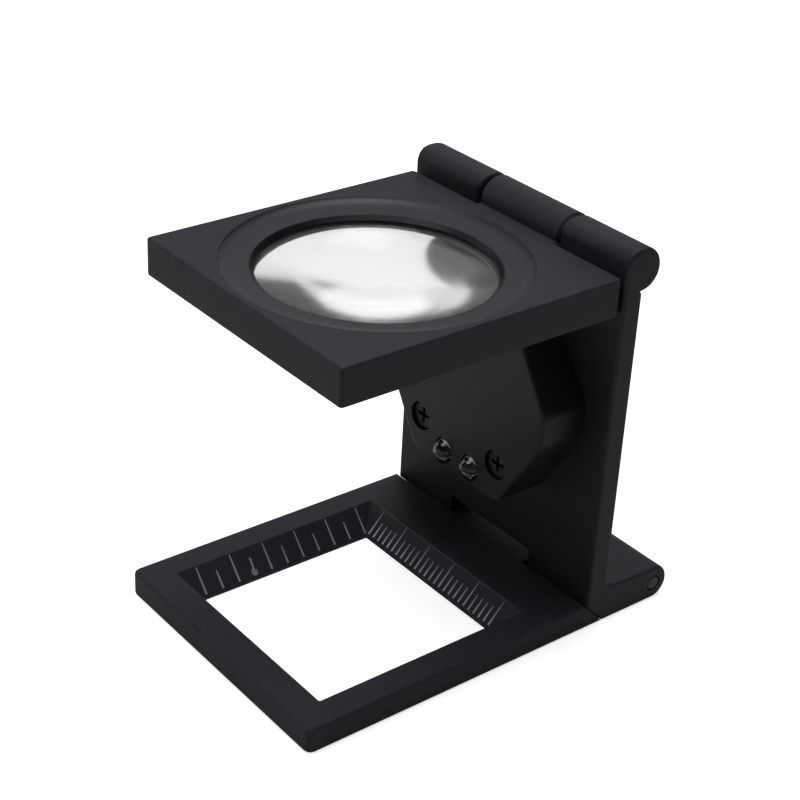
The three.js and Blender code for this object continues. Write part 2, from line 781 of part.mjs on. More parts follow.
function switchKnob() {
  const centre = cellHeight - switchTravel / 2;
  const inner = -lampHalfWidth - seatGap;
  const cap = block(
    new THREE.Vector3(inner - knobProud, -switchDepth - knobDepth / 2, centre - knobHeight / 2),
    new THREE.Vector3(inner, -switchDepth + knobDepth / 2, centre + knobHeight / 2),
  );
  const stem = block(
    new THREE.Vector3(inner - knobProud / 2, -switchDepth - stemDepth / 2, centre - stemHeight / 2),
    new THREE.Vector3(-lampHalfWidth + lampWall + stemReach, -switchDepth + stemDepth / 2, centre + stemHeight / 2),
  );
  const pitch = knobHeight / knobRidgeCount;
  const grooves = Array.from({ length: knobRidgeCount - 1 }, (_, i) => {
    const z = centre - knobHeight / 2 + pitch * (i + 1);
    return block(
      new THREE.Vector3(inner - knobProud - overrun, -switchDepth - knobDepth, z - knobRidge / 2),
      new THREE.Vector3(inner - knobProud + knobRidge, -switchDepth + knobDepth, z + knobRidge / 2),
    );
  });
  return piece('switch_knob', cut(join([cap, stem]), grooves), blackPlastic());
}

// The whole magnifier, with its origin on the ground under the middle of its box
const magnifier = new THREE.Group();
magnifier.position.set(0, (baseReach - lowerAxisSetback - lowerBarrelRadius) / 2, 0);
magnifier.add(
  baseFrame(),
  uprightPlate(),
  ...hingePins(),
  lensFrame(),
  lens(),
  retainingRing(),
  lampCover(),
  backPlate(),
  coverScrew('cover_screw_left', -screwOffset),
  coverScrew('cover_screw_right', screwOffset),
  diode('led_left', -ledOffset),
  diode('led_right', ledOffset),
  circuitBoard(),
  resistor(),
  buttonCell('button_cell_left', 0),
  buttonCell('button_cell_middle', 1),
  buttonCell('button_cell_right', 2),
  ...contacts(),
  switchBody(),
  switchKnob(),
);

const root = new THREE.Group();
root.add(magnifier);

export default root;
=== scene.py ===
# Looks for the folding magnifier: materials, graduations, glass, diodes, floor, light and camera.
# Lengths are in metres, in the frame of the solids: X right, Y back, Z up, with the ground at zero.
import math

import bmesh
import bpy
from mathutils import Matrix, Vector

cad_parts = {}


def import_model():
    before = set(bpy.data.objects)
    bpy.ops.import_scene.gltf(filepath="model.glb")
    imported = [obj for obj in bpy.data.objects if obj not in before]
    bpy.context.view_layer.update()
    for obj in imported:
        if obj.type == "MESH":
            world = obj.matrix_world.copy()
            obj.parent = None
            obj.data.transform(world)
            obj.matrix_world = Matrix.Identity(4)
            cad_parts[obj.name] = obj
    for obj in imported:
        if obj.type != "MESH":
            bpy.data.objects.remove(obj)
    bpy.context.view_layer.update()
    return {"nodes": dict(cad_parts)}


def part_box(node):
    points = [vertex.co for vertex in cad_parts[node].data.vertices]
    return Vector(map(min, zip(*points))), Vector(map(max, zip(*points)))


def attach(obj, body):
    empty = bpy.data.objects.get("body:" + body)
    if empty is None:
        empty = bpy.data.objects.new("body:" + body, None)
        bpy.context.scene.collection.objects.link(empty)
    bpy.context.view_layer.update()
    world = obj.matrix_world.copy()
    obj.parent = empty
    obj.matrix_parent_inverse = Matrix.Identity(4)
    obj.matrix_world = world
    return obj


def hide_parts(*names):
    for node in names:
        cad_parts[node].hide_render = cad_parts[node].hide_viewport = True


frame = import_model()

MM = 0.001
WHITE = (1.0, 1.0, 1.0)
ORIGIN = (0.0, 0.0, 0.0)
RIGHTWARDS = Vector((1.0, 0.0, 0.0))
BACKWARDS = Vector((0.0, 1.0, 0.0))
LEVEL_SHARES = (1.0, 1.0, 0.0)

# Camera, found from the photograph's corners
CAMERA_AZIMUTH = 50.517
CAMERA_ELEVATION = 29.145
CAMERA_ROLL = 3.105
CAMERA_PLACE = (0.148302, -0.124166, 0.136353)
CAMERA_LENS = 81.594
CAMERA_SENSOR = 36.0
CAMERA_NEAR = 10 * MM

# The window of the base, as the solids have it
BASE_TOP = 3.5 * MM
WINDOW_LIP = 0.4 * MM
WINDOW_OPENING = 25.4 * MM
WINDOW_BEVEL = 2.9 * MM
WINDOW_REAR = 6.75 * MM
HALF_OPENING = WINDOW_OPENING / 2
HALF_TOP = HALF_OPENING + WINDOW_BEVEL
WINDOW_MIDDLE = WINDOW_REAR - HALF_TOP

# Graduations on the bevels of the window. The shares run from the foot of a bevel to its top.
MILLIMETRE = 1.0 * MM
TENTH_INCH = 2.54 * MM
REAR_MARKS = 26
LEFT_MARKS = 11
REAR_LONG_EVERY = 5
LEFT_LONG_EVERY = 2
MARK_TOP_WIDTH = 0.15 * MM
MARK_FOOT_WIDTH = 0.28 * MM
MARK_PROUD = 0.02 * MM
# A thin light line along the top edge of the rear bevel: a painted highlight on that edge
EDGE_HIGHLIGHT_WIDTH = 0.06 * MM
EDGE_HIGHLIGHT_SHARE = 0.985
MARK_START_SHARE = 0.08
LONG_END_SHARE = 0.95
SHORT_END_REAR_SHARE = 0.62
SHORT_END_LEFT_SHARE = 0.66

# A smear of the marking paint at the foot of one short mark of the left scale
SMEAR_MARK = 3
SMEAR_FOOT_SHARE = 0.2
SMEAR_TAIL_SHARE = 0.62
SMEAR_WIDTH = 0.36 * MM
SMEAR_HEIGHT = 0.42 * MM
SMEAR_STROKE = 0.13 * MM
SMEAR_PROUD = 0.03 * MM
SMEAR_DEGREES = 300.0
SMEAR_STEPS = 18

# Painted shade: a thin black sheet on the slope of the base under the upright, which keeps the seam dark
SEAM_FOOT = 17.4 * MM
SEAM_SHADE_THICKNESS = 0.03 * MM
SEAM_SHADE_START = 4.0 * MM
SEAM_SHADE_END = 0.45 * MM
SEAM_SHADE_LOW = 0.15 * MM

# The lens and its seat
LENS_SAG = 1.7 * MM
LENS_RINGS = 20
LENS_TURNS = 128
BORE_RADIUS = 14.75 * MM
FUNNEL_RADIUS = 18.35 * MM
BORE_BLEND = 0.12 * MM

# Light emitting diodes: a clear dome over a metal cup with a drop of phosphor, and two posts
DIODE_OFFSET = 2.6 * MM
DIODE_PLACE = Vector((0.0, 7.7 * MM, 17.5 * MM))
DIODE_DEGREES = 120.0
DIODE_PROUD = 1.1 * MM
DIODE_LENGTH = 4.6 * MM
DIODE_TURNS = 48
DOME_RADIUS = 1.5 * MM
DOME_STEPS = 14
FLANGE_RADIUS = 1.8 * MM
FLANGE_HEIGHT = 0.8 * MM
CUP_TURNS = 32
CUP_DEPTH = 2.1 * MM
CUP_RADIUS = 0.95 * MM
CUP_HEIGHT = 0.8 * MM
CUP_WALL = 0.08 * MM
POST_WIDTH = 0.45 * MM
POST_GAP = 0.75 * MM
POST_FOOT = 0.1 * MM

# The lamp cover's slanted left edge, from its foot up to its straight side, and how far in from it the
# painted highlight reaches
COVER_FOOT = 8.2 * MM
COVER_SIDE = 4.0 * MM
COVER_HIGHLIGHT_FROM = 0.5 * MM
COVER_HIGHLIGHT_TO = 1.8 * MM
COVER_HIGHLIGHT_LEAST_SHARE = 0.1

# Surface grain, as cells to the metre
PAINT_GRAIN = 5200.0
PIN_GRAIN = 4000.0
SCREW_GRAIN = 5000.0
SHEET_METAL_GRAIN = 3000.0
LENS_SMUDGE_GRAIN = 120.0
RESIN_SMUDGE_GRAIN = 1500.0
DRIFT_CELLS = 60.0
STAIN_CELLS = 20.0
NOISE_DETAIL = 4.0
NOISE_ROUGHNESS = 0.55
PAINT_DETAIL = 3.0
TOOL_MARK_DETAIL = 5.0
TOOL_MARK_ROUGHNESS = 0.7
RAMP_START = 0.35
RAMP_END = 0.65

# How deep the grain goes, and how far wear reaches from an edge (on the lamp cover, a painted highlight)
PAINT_BUMP = 0.02 * MM
PLASTIC_BUMP = PAINT_BUMP / 3
TOOL_MARK_BUMP = 0.004 * MM
PAINT_WEAR_RADIUS = 0.3 * MM
PLASTIC_WEAR_AND_HIGHLIGHT_RADIUS = 0.32 * MM
FINE_WEAR_RADIUS = 0.12 * MM
WEAR_SAMPLES = 6
WEAR_FULL_LEAN = 0.9
WEAR_NO_LEAN = 0.995
WEAR_LEAST_SHARE = 0.2
WEAR_MOST_SHARE = 0.9
# Painted sheen: how far the turned funnel's colour is lifted towards the lighter edge colour
FUNNEL_SHEEN_SHARE = 0.12

# Paints and plastics. Colours are linear red, green and blue.
# Near black: painted shade on the lens bore wall, and the darker tops of the rear marks
DEEP_BLACK = (0.004, 0.004, 0.007)
PAINT_DARK = (0.016, 0.016, 0.022)
PAINT_LIGHT = (0.02, 0.02, 0.027)
PAINT_WORN = (0.045, 0.045, 0.053)
PAINT_ROUGHNESS = (0.5, 0.64)
PAINT_SPECULAR = 0.24
FUNNEL_ROUGHNESS = 0.33
MARK_WORN = (0.3, 0.3, 0.32)
MARK_ROUGHNESS = (0.5, 0.65)
MARK_FADE_SHARE = 0.85
MARK_FADE_FROM = 1.0 * MM
COATING_SPECULAR = 0.5
COATING_WORN_ROUGHNESS = 0.35
BLACKENED_METALLIC = 0.5

# Glass and resin
LENS_IOR = 1.38
RESIN_IOR = 1.5
GLASS_HAZE = 0.02
GLASS_TINT = (0.78, 0.78, 0.775)
GLASS_ROUGHNESS = (0.08, 0.14)
RESIN_ROUGHNESS = (0.01, 0.05)
SMUDGE_SHARE = 0.97

# Smooth shading
SMOOTH_DEGREES = 34.0
WELD_DISTANCE = 0.001 * MM
NORMAL_WEIGHT = 80

# Floor and light. Each soft box has its name, place, size and power.
FLOOR_SIZE = 3.0
FLOOR_COLOR = (0.74, 0.74, 0.74)
FLOOR_ROUGHNESS = 0.9
FLOOR_GLOW = 0.72
FAR_GLOW = 1.05
FAR_GLOW_FROM = 0.15
FAR_GLOW_TO = 0.7
GLASS_GLOW_SHARE = 0.72
WORLD_GLOW = 1.0
WORLD_LIGHT = 0.01
WORLD_GLOSS_SHARE = 0.03
LIGHT_AIM = Vector((0.0, 0.0, 20 * MM))
SOFT_BOXES = (
    ("top_box", (0.0, 0.05, 0.85), 0.5, 3.45),
    ("rear_top_box", (-0.22, 0.27, 0.8), 0.3, 1.45),
    ("front_top_box", (-0.1, -0.45, 0.78), 0.35, 1.6),
    ("low_left_box", (-0.7, -0.35, 0.3), 0.4, 0.9),
    ("low_rear_box", (-0.7, 0.58, 0.42), 0.9, 1.2),
    ("right_box", (0.8, 0.0, 0.35), 0.5, 0.2),
)


class Surface:
    """A material's node tree, with short ways to add the nodes used here."""

    def __init__(self, name):
        self.material = bpy.data.materials.new(name)
        self.material.use_nodes = True
        self.nodes = self.material.node_tree.nodes
        self.links = self.material.node_tree.links
        self.shader = self.nodes["Principled BSDF"]
        self.place = self.nodes.new("ShaderNodeTexCoord").outputs["Object"]

    def feed(self, source, name):
        """Links a value or colour to an input of the shader."""
        self.links.new(source, self.shader.inputs[name])

    def noise(self, scale, detail=NOISE_DETAIL, roughness=NOISE_ROUGHNESS):
        """A noise texture in object space."""
        node = self.nodes.new("ShaderNodeTexNoise")
        node.inputs["Scale"].default_value = scale
        node.inputs["Detail"].default_value = detail
        node.inputs["Roughness"].default_value = roughness
        self.links.new(self.place, node.inputs["Vector"])
        return node.outputs["Fac"]

    def ramp(self, source, low, high):
        """Blends between two colours over the middle of the source's range."""
        node = self.nodes.new("ShaderNodeValToRGB")
        node.color_ramp.elements[0].position = RAMP_START
        node.color_ramp.elements[0].color = (*low, 1.0)
        node.color_ramp.elements[1].position = RAMP_END
        node.color_ramp.elements[1].color = (*high, 1.0)
        self.links.new(source, node.inputs["Fac"])
        return node.outputs["Color"]

    def spread(self, source, low, high, start=0.0, end=1.0):
        """Maps the range from start to end to the one from low to high."""
        node = self.nodes.new("ShaderNodeMapRange")
        node.inputs["From Min"].default_value = start
        node.inputs["From Max"].default_value = end
        node.inputs["To Min"].default_value = low
        node.inputs["To Max"].default_value = high
        self.links.new(source, node.inputs["Value"])
        return node.outputs["Result"]

    def combined(self, operation, first, second):
        """Two values put together by an operation."""
        node = self.nodes.new("ShaderNodeMath")
        node.operation = operation
        self.links.new(first, node.inputs[0])
        self.links.new(second, node.inputs[1])
        return node.outputs["Value"]

    def scaled(self, value, factor):
        """A value times a fixed factor."""
        node = self.nodes.new("ShaderNodeMath")
        node.operation = "MULTIPLY"
        node.inputs[1].default_value = factor
        self.links.new(value, node.inputs[0])
        return node.outputs["Value"]

    def reach(self, centre):
        """How far a point lies from an upright axis through a centre, both as the object has them."""
        away = self.nodes.new("ShaderNodeVectorMath")
        away.operation = "SUBTRACT"
        away.inputs[1].default_value = centre
        self.links.new(self.place, away.inputs[0])
        level = self.nodes.new("ShaderNodeVectorMath")
        level.operation = "MULTIPLY"
        level.inputs[1].default_value = LEVEL_SHARES
        self.links.new(away.outputs["Vector"], level.inputs[0])
        length = self.nodes.new("ShaderNodeVectorMath")
        length.operation = "LENGTH"
        self.links.new(level.outputs["Vector"], length.inputs[0])
        return length.outputs["Value"]

    def along(self, axis):
        """One coordinate of a point, as the object has it."""
        node = self.nodes.new("ShaderNodeSeparateXYZ")
        self.links.new(self.place, node.inputs["Vector"])
        return node.outputs[axis]

    def mixed(self, factor, first, second):
        """Mixes a colour with a fixed second one."""
        node = self.nodes.new("ShaderNodeMix")
        node.data_type = "RGBA"
        colors = [socket for socket in node.inputs if socket.type == "RGBA"]
        self.links.new(factor, node.inputs["Factor"])
        self.links.new(first, colors[0])
        colors[1].default_value = (*second, 1.0)
        return next(socket for socket in node.outputs if socket.type == "RGBA")

    def edges(self, radius):
        """1 along sharp edges and 0 on flat faces, from how far a rounded normal leans."""
        rounded = self.nodes.new("ShaderNodeBevel")
        rounded.samples = WEAR_SAMPLES
        rounded.inputs["Radius"].default_value = radius
        geometry = self.nodes.new("ShaderNodeNewGeometry")
        lean = self.nodes.new("ShaderNodeVectorMath")
        lean.operation = "DOT_PRODUCT"
        self.links.new(rounded.outputs["Normal"], lean.inputs[0])
        self.links.new(geometry.outputs["Normal"], lean.inputs[1])
        return self.spread(lean.outputs["Value"], 1.0, 0.0, WEAR_FULL_LEAN, WEAR_NO_LEAN)

    def bump(self, height, distance):
        """Bumps the shader's normal by a height."""
        node = self.nodes.new("ShaderNodeBump")
        node.inputs["Distance"].default_value = distance
        self.links.new(height, node.inputs["Height"])
        self.feed(node.outputs["Normal"], "Normal")


# Kinds of material
def coating(
    name, dark, light, wear_and_highlight_color, roughness,
    bump=PAINT_BUMP, wear_radius=FINE_WEAR_RADIUS,
    specular=COATING_SPECULAR, worn_roughness=COATING_WORN_ROUGHNESS,
    edge_highlight_where=None, polished=None, blackened=None,
):
    """Paint or moulded plastic: fine grain, slow colour drift, and smoother, lighter edges.

    Three functions may each give a mask: where the light edge colour shows at all (on the lamp cover
    it is a painted highlight), where the surface is polished by turning (smoother, and a little lighter
    as painted sheen), and where it is darkened to nearly black (on the lens bore, painted shade).
    """
    surface = Surface(name)
    fine = surface.noise(PAINT_GRAIN, PAINT_DETAIL)
    drift = surface.noise(PAINT_GRAIN / DRIFT_CELLS)
    patchy = surface.spread(drift, WEAR_LEAST_SHARE, WEAR_MOST_SHARE)
    edge_wear_and_highlight = surface.combined("MULTIPLY", surface.edges(wear_radius), patchy)
    # On the lamp cover this mask keeps the light edge colour, a painted highlight, mostly to the slanted
    # left edge.
    if edge_highlight_where:
        edge_wear_and_highlight = surface.combined("MULTIPLY", edge_wear_and_highlight, edge_highlight_where(surface))
    wear_highlight_and_sheen = edge_wear_and_highlight
    smoother = edge_wear_and_highlight
    if polished:
        turned_face = polished(surface)
        # A turned face is smoother, and its colour is lifted a little as painted sheen.
        wear_highlight_and_sheen = surface.combined("MAXIMUM", edge_wear_and_highlight, surface.scaled(turned_face, FUNNEL_SHEEN_SHARE))
        smoother = surface.combined("MAXIMUM", edge_wear_and_highlight, turned_face)
    color = surface.mixed(wear_highlight_and_sheen, surface.ramp(drift, dark, light), wear_and_highlight_color)
    # Painted shade on the lens bore wall; on the rear marks, darker towards their tops.
    if blackened:
        color = surface.mixed(blackened(surface), color, DEEP_BLACK)
    surface.feed(color, "Base Color")
    low, high = roughness
    dull = surface.spread(fine, low, high)
    polish = surface.scaled(smoother, low - worn_roughness)
    surface.feed(surface.combined("SUBTRACT", dull, polish), "Roughness")
    surface.shader.inputs["Specular IOR Level"].default_value = specular
    surface.bump(fine, bump)
    return surface.material


def bare_metal(name, dark, light, roughness, grain, metallic=1.0):
    """Bare metal with fine tool marks and stains."""
    surface = Surface(name)
    marks = surface.noise(grain, TOOL_MARK_DETAIL, TOOL_MARK_ROUGHNESS)
    stains = surface.noise(grain / STAIN_CELLS)
    low, high = roughness
    surface.feed(surface.ramp(stains, dark, light), "Base Color")
    surface.feed(surface.spread(marks, low, high), "Roughness")
    surface.shader.inputs["Metallic"].default_value = metallic
    surface.bump(marks, TOOL_MARK_BUMP)
    return surface.material


def clear(name, ior, roughness, smudge_grain, tint, haze=0.0):
    """Clear glass or resin with faint smudges, and a thin haze where one is asked for."""
    surface = Surface(name)
    smudges = surface.noise(smudge_grain)
    smudged = tuple(SMUDGE_SHARE * channel for channel in tint)
    low, high = roughness
    surface.feed(surface.ramp(smudges, smudged, tint), "Base Color")
    surface.feed(surface.spread(smudges, low, high), "Roughness")
    surface.shader.inputs["Transmission Weight"].default_value = 1.0 - haze
    surface.shader.inputs["IOR"].default_value = ior
    return surface.material


# Masks, as functions of a surface
lens_low, lens_high = (Vector(corner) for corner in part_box("lens"))
lens_centre = (lens_low + lens_high) / 2
lens_axis = frame["nodes"]["lens_frame"].matrix_world.inverted() @ lens_centre
cover_low, cover_high = (Vector(corner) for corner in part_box("lamp_cover"))


def bore_shade(surface):
    """1 on the wall around the glass, where painted shade turns the paint near black."""
    return surface.spread(surface.reach(lens_axis), 1.0, 0.0, BORE_RADIUS, BORE_RADIUS + BORE_BLEND)


def in_funnel(surface):
    """1 on the turned funnel around the bore."""
    return surface.spread(surface.reach(lens_axis), 1.0, 0.0, FUNNEL_RADIUS - BORE_BLEND, FUNNEL_RADIUS)


def cover_edge_highlight(surface):
    """1 along the slanted left edge of the lamp cover, where the light edge colour is a painted highlight.
    """
    slant = (-cover_low.x - COVER_FOOT) / ((cover_high.z - cover_low.z - COVER_SIDE) / 2)
    edge = slant * cover_low.z - COVER_FOOT
    inwards = surface.combined("ADD", surface.along("X"), surface.scaled(surface.along("Z"), slant))
    return surface.spread(
        inwards, 1.0, COVER_HIGHLIGHT_LEAST_SHARE, edge + COVER_HIGHLIGHT_FROM, edge + COVER_HIGHLIGHT_TO,
    )


def towards_top(surface):
    """0 at the foot of a mark, rising to darken the mark towards its top."""
    return surface.spread(surface.along("Z"), 0.0, MARK_FADE_SHARE, MARK_FADE_FROM, BASE_TOP)


# Materials
black_paint = coating(
    "black_paint",
    dark=PAINT_DARK,
    light=PAINT_LIGHT,
    wear_and_highlight_color=PAINT_WORN,
    roughness=PAINT_ROUGHNESS,
    wear_radius=PAINT_WEAR_RADIUS,
    specular=PAINT_SPECULAR,
)
lens_frame_paint = coating(
    "lens_frame_paint",
    dark=PAINT_DARK,
    light=PAINT_LIGHT,
    wear_and_highlight_color=PAINT_WORN,
    roughness=PAINT_ROUGHNESS,
    wear_radius=PAINT_WEAR_RADIUS,
    specular=PAINT_SPECULAR,
    worn_roughness=FUNNEL_ROUGHNESS,
    # The funnel is smoother, and a little lighter as painted sheen.
    polished=in_funnel,
    # The bore wall is painted near black as shade.
    blackened=bore_shade,
)
# Black plastic. Its light grey edge colour, kept mostly to the cover's slanted left edge, is a painted
# highlight.
black_plastic = coating(
    "black_plastic",
    dark=(0.009, 0.009, 0.011),
    light=(0.012, 0.012, 0.014),
    wear_and_highlight_color=(0.4, 0.4, 0.42),
    roughness=(0.36, 0.46),
    bump=PLASTIC_BUMP,
    wear_radius=PLASTIC_WEAR_AND_HIGHLIGHT_RADIUS,
    specular=0.22,
    worn_roughness=0.15,
    edge_highlight_where=cover_edge_highlight,
)
pin_steel = bare_metal(
    "pin_steel",
    dark=(0.03, 0.03, 0.032),
    light=(0.05, 0.05, 0.05),
    roughness=(0.4, 0.6),
    grain=PIN_GRAIN,
    metallic=BLACKENED_METALLIC,
)
black_steel = bare_metal(
    "black_steel",
    dark=(0.014, 0.014, 0.015),
    light=(0.026, 0.026, 0.027),
    roughness=(0.4, 0.55),
    grain=SCREW_GRAIN,
    metallic=BLACKENED_METALLIC,
)
cell_steel = bare_metal(
    "cell_steel",
    dark=(0.5, 0.5, 0.5),
    light=(0.62, 0.62, 0.6),
    roughness=(0.22, 0.4),
    grain=SHEET_METAL_GRAIN,
)
contact_brass = bare_metal(
    "contact_brass",
    dark=(0.5, 0.36, 0.14),
    light=(0.66, 0.5, 0.24),
    roughness=(0.25, 0.45),
    grain=SHEET_METAL_GRAIN,
)
lens_glass = clear("lens_glass", LENS_IOR, GLASS_ROUGHNESS, LENS_SMUDGE_GRAIN, GLASS_TINT, GLASS_HAZE)
clear_resin = clear("clear_resin", RESIN_IOR, RESIN_ROUGHNESS, RESIN_SMUDGE_GRAIN, WHITE)
board_green = coating(
    "board_green",
    dark=(0.03, 0.12, 0.05),
    light=(0.04, 0.16, 0.07),
    wear_and_highlight_color=(0.2, 0.3, 0.18),
    roughness=(0.3, 0.45),
)
resistor_beige = coating(
    "resistor_beige",
    dark=(0.5, 0.4, 0.25),
    light=(0.58, 0.48, 0.3),
    wear_and_highlight_color=(0.7, 0.6, 0.42),
    roughness=(0.35, 0.5),
)
mark_paint = coating(
    "mark_paint",
    dark=(0.2, 0.21, 0.24),
    light=(0.36, 0.37, 0.42),
    wear_and_highlight_color=MARK_WORN,
    roughness=MARK_ROUGHNESS,
)
thin_mark_paint = coating(
    "thin_mark_paint",
    dark=(0.34, 0.35, 0.42),
    light=(0.5, 0.51, 0.6),
    wear_and_highlight_color=MARK_WORN,
    roughness=MARK_ROUGHNESS,
    blackened=towards_top,
)
phosphor = coating(
    "phosphor",
    dark=(0.2, 0.23, 0.1),
    light=(0.28, 0.31, 0.15),
    wear_and_highlight_color=(0.3, 0.32, 0.2),
    roughness=(0.5, 0.7),
)
# Near black: on the lens it is the blackened rim, and on the seam it is painted shade.
black_rim_and_seam_shade = coating(
    "black_rim_and_seam_shade",
    dark=(0.01, 0.01, 0.012),
    light=(0.014, 0.014, 0.016),
    wear_and_highlight_color=(0.02, 0.02, 0.022),
    roughness=(0.6, 0.75),
    specular=0.2,
)

MATERIAL_OF = {
    "base_frame": black_paint,
    "upright_plate": black_paint,
    "lens_frame": lens_frame_paint,
    "upper_hinge_pin": pin_steel,
    "lower_hinge_pin": pin_steel,
    "lens": lens_glass,
    "lens_retaining_ring": black_steel,
    "lamp_cover": black_plastic,
    "lamp_back_plate": black_plastic,
    "cover_screw_left": black_steel,
    "cover_screw_right": black_steel,
    "led_left": clear_resin,
    "led_right": clear_resin,
    "lamp_circuit_board": board_green,
    "lamp_resistor": resistor_beige,
    "button_cell_left": cell_steel,
    "button_cell_middle": cell_steel,
    "button_cell_right": cell_steel,
    "contact_positive": contact_brass,
    "contact_negative": contact_brass,
    "contact_bridge_front": contact_brass,
    "contact_bridge_rear": contact_brass,
    "switch_body": black_plastic,
    "switch_knob": black_plastic,
}


# Shading of the carried-over solids
def smoothing_group():
    """Geometry nodes that shade smooth but keep edges sharper than an angle."""
    group = bpy.data.node_groups.new("smooth_by_angle", "GeometryNodeTree")
    group.interface.new_socket("Geometry", in_out="INPUT", socket_type="NodeSocketGeometry")
    group.interface.new_socket("Geometry", in_out="OUTPUT", socket_type="NodeSocketGeometry")
    nodes = group.nodes
    links = group.links
    entry = nodes.new("NodeGroupInput")
    leave = nodes.new("NodeGroupOutput")
    angle = nodes.new("GeometryNodeInputMeshEdgeAngle")
    below = nodes.new("FunctionNodeCompare")
    below.operation = "LESS_EQUAL"
    below.inputs["B"].default_value = math.radians(SMOOTH_DEGREES)
    faces = nodes.new("GeometryNodeSetShadeSmooth")
    edges = nodes.new("GeometryNodeSetShadeSmooth")
    edges.domain = "EDGE"
    links.new(angle.outputs["Unsigned Angle"], below.inputs["A"])
    links.new(entry.outputs[0], faces.inputs["Geometry"])
    links.new(faces.outputs["Geometry"], edges.inputs["Geometry"])
    links.new(below.outputs["Result"], edges.inputs["Shade Smooth"])
    links.new(edges.outputs["Geometry"], leave.inputs[0])
    return group


smooth_by_angle = smoothing_group()


def soften(piece):
    """Smooth shading that keeps sharp edges."""
    smooth = piece.modifiers.new("smooth", "NODES")
    smooth.node_group = smooth_by_angle


def dress(piece, material):
    """Gives a solid its material and clean smooth shading."""
    piece.data.materials.clear()
    piece.data.materials.append(material)
    weld = piece.modifiers.new("weld", "WELD")
    weld.merge_threshold = WELD_DISTANCE
    soften(piece)
    weighted = piece.modifiers.new("weighted", "WEIGHTED_NORMAL")
    weighted.keep_sharp = True
    weighted.weight = NORMAL_WEIGHT


for node_name, node in frame["nodes"].items():
    dress(node, MATERIAL_OF[node_name])


# Ways to make a new piece
def new_piece(name, work, materials, body):
    """Turns a mesh being built into a piece that rides on a body."""
    bmesh.ops.recalc_face_normals(work, faces=work.faces)
    mesh = bpy.data.meshes.new(name)
    work.to_mesh(mesh)
    work.free()
    piece = bpy.data.objects.new(name, mesh)
    bpy.context.scene.collection.objects.link(piece)
    for material in materials:
        mesh.materials.append(material)
    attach(piece, body)
    return piece


def walls(work, first, second):
    """Side faces between two rings of as many corners."""
    for i, corner in enumerate(first):
        j = (i + 1) % len(first)
        work.faces.new([corner, first[j], second[j], second[i]])


def closed_prism(work, first, second):
    """Two rings of corners with faces over their ends and between them."""
    first_ring = [work.verts.new(corner) for corner in first]
    second_ring = [work.verts.new(corner) for corner in second]
    work.faces.new(first_ring)
    work.faces.new(second_ring)
    walls(work, first_ring, second_ring)


def turned(work, profile, turns, place, indices=()):
    """A profile of radius and height turned about its axis and put in place by a matrix."""
    angles = [math.tau * i / turns for i in range(turns)]
    rings = []
    for radius, height in profile:
        spots = [(0, 0, height)]
        if radius:
            spots = [(radius * math.cos(angle), radius * math.sin(angle), height) for angle in angles]
        rings.append([work.verts.new(place @ Vector(spot)) for spot in spots])
    for k, (first, second) in enumerate(zip(rings, rings[1:])):
        for i in range(turns):
            j = (i + 1) % turns
            near = [first[i % len(first)], first[j % len(first)]]
            far = [second[j % len(second)], second[i % len(second)]]
            face = work.faces.new(list(dict.fromkeys(near + far)))
            face.smooth = True
            face.material_index = indices[k] if indices else 0


def out_of_bevel(along, across):
    """The direction out of a bevel of the window, from two directions in it."""
    outwards = across.cross(along)
    if outwards.z < 0:
        outwards.negate()
    return outwards


# Graduations: thin painted strips on the bevels of the window
def strip(work, middle, along, across, length, foot_width=MARK_FOOT_WIDTH, top_width=MARK_TOP_WIDTH):
    """A flat painted stroke, a little wider at its foot."""
    corners = []
    for end, width in ((-1, foot_width), (1, top_width)):
        for side in (-end, end):
            corners.append(middle + along * (end * length / 2) + across * (side * width / 2))
    proud = out_of_bevel(along, across) * MARK_PROUD
    low = [work.verts.new(corner) for corner in corners]
    high = [work.verts.new(corner + proud) for corner in corners]
    work.faces.new(high)
    walls(work, low, high)


def scale(name, count, pitch, middle, foot, top, direction, long_every, short_end, paint, top_edge_highlight):
    """A row of strokes on one bevel, from its foot to its top, with or without a painted highlight line
    along the top.
    """
    work = bmesh.new()
    slope = top - foot
    along = slope.normalized()
    for i in range(count):
        end = short_end if i % long_every else LONG_END_SHARE
        share = (MARK_START_SHARE + end) / 2
        place = direction * (middle + pitch * (i - (count - 1) / 2))
        length = slope.length * (end - MARK_START_SHARE)
        strip(work, foot + slope * share + place, along, direction, length)
    # The line along the top is a painted highlight on the bevel's top edge.
    if top_edge_highlight:
        centre = foot + slope * EDGE_HIGHLIGHT_SHARE + direction * middle
        strip(work, centre, direction, along, pitch * (count + 1), EDGE_HIGHLIGHT_WIDTH, EDGE_HIGHLIGHT_WIDTH)
    new_piece(name, work, [paint], "base")


scale(
    "millimetre_scale",
    count=REAR_MARKS,
    pitch=MILLIMETRE,
    middle=0.0,
    foot=Vector((0, WINDOW_MIDDLE + HALF_OPENING, WINDOW_LIP)),
    top=Vector((0, WINDOW_MIDDLE + HALF_TOP, BASE_TOP)),
    direction=RIGHTWARDS,
    long_every=REAR_LONG_EVERY,
    short_end=SHORT_END_REAR_SHARE,
    paint=thin_mark_paint,
    top_edge_highlight=True,
)
scale(
    "inch_scale",
    count=LEFT_MARKS,
    pitch=TENTH_INCH,
    middle=WINDOW_MIDDLE,
    foot=Vector((-HALF_OPENING, 0, WINDOW_LIP)),
    top=Vector((-HALF_TOP, 0, BASE_TOP)),
    direction=BACKWARDS,
    long_every=LEFT_LONG_EVERY,
    short_end=SHORT_END_LEFT_SHARE,
    paint=mark_paint,
    top_edge_highlight=False,
)


